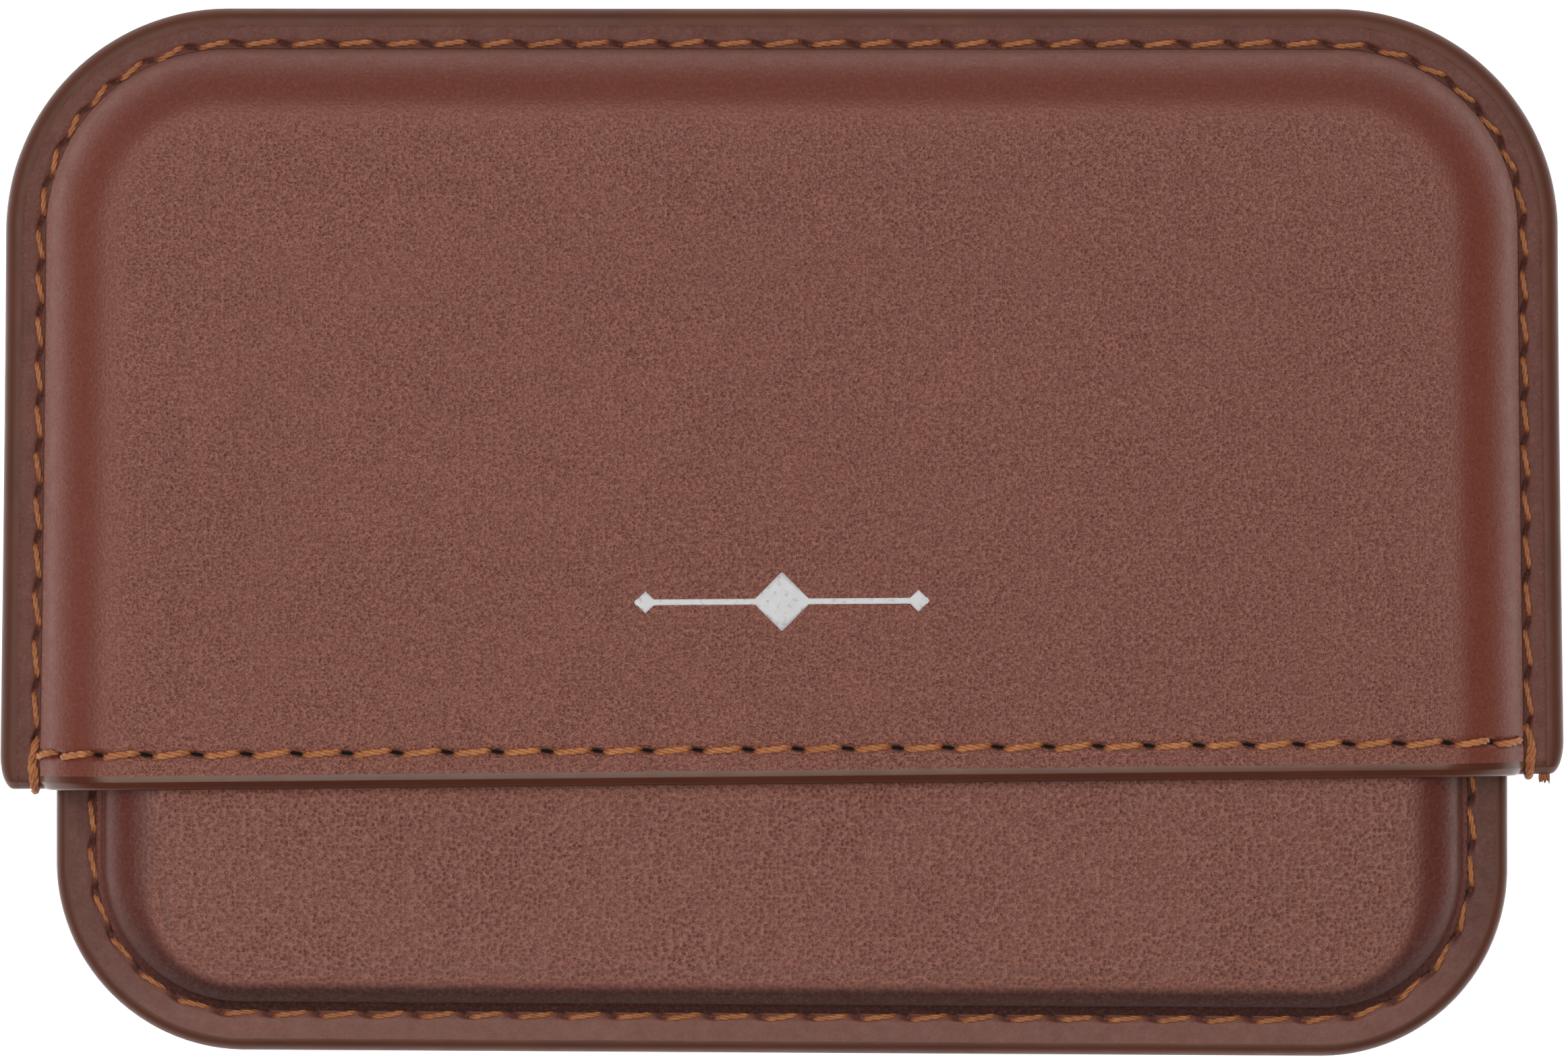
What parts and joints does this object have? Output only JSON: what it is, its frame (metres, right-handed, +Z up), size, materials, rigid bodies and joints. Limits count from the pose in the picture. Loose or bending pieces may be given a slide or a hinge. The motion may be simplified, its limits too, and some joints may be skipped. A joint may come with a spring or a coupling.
{
  "type": "business card case",
  "caption": "Flat leather business card case: a card pouch that slides out of a cover, with flanged, stitched and painted edges.",
  "frame": {"origin": "centre of the closed case's base: on the plane it lies on, midway along its width and its length", "axes": "+X across the case's width, +Y to the closed end of the cover, +Z up out of the front face"},
  "size_m": [0.106, 0.0708, 0.0132],
  "materials": {
    "outer_leather": "burnished red-brown, fine pebble grain",
    "lining_leather": "smooth tan lining",
    "stiffener_board": "raw board",
    "waxed_thread": "twisted waxed thread",
    "foil": "pale hot-stamped foil"
  },
  "bodies": {
    "cover": {"cover_front_leather": "outer_leather", "cover_back_leather": "outer_leather", "cover_front_lining": "lining_leather", "cover_back_lining": "lining_leather", "cover_front_stiffener": "stiffener_board", "cover_back_stiffener": "stiffener_board", "cover_front_seam_thread": "waxed_thread", "cover_back_seam_thread": "waxed_thread", "cover_front_mouth_thread": "waxed_thread", "cover_back_mouth_thread": "waxed_thread", "cover_left_bar_tack": "waxed_thread", "cover_right_bar_tack": "waxed_thread", "cover_foil_ornament": "foil"},
    "pouch": {"pouch_front_leather": "outer_leather", "pouch_back_leather": "outer_leather", "pouch_front_lining": "lining_leather", "pouch_back_lining": "lining_leather", "pouch_front_stiffener": "stiffener_board", "pouch_back_stiffener": "stiffener_board", "pouch_front_seam_thread": "waxed_thread", "pouch_back_seam_thread": "waxed_thread", "pouch_front_mouth_thread": "waxed_thread", "pouch_back_mouth_thread": "waxed_thread", "pouch_left_bar_tack": "waxed_thread", "pouch_right_bar_tack": "waxed_thread"}
  },
  "joints": [
    {"name": "pouch_slide", "type": "slide", "parent": "cover", "child": "pouch", "axis": [0, -1, 0], "range_m": [0, 0.055]}
  ]
}
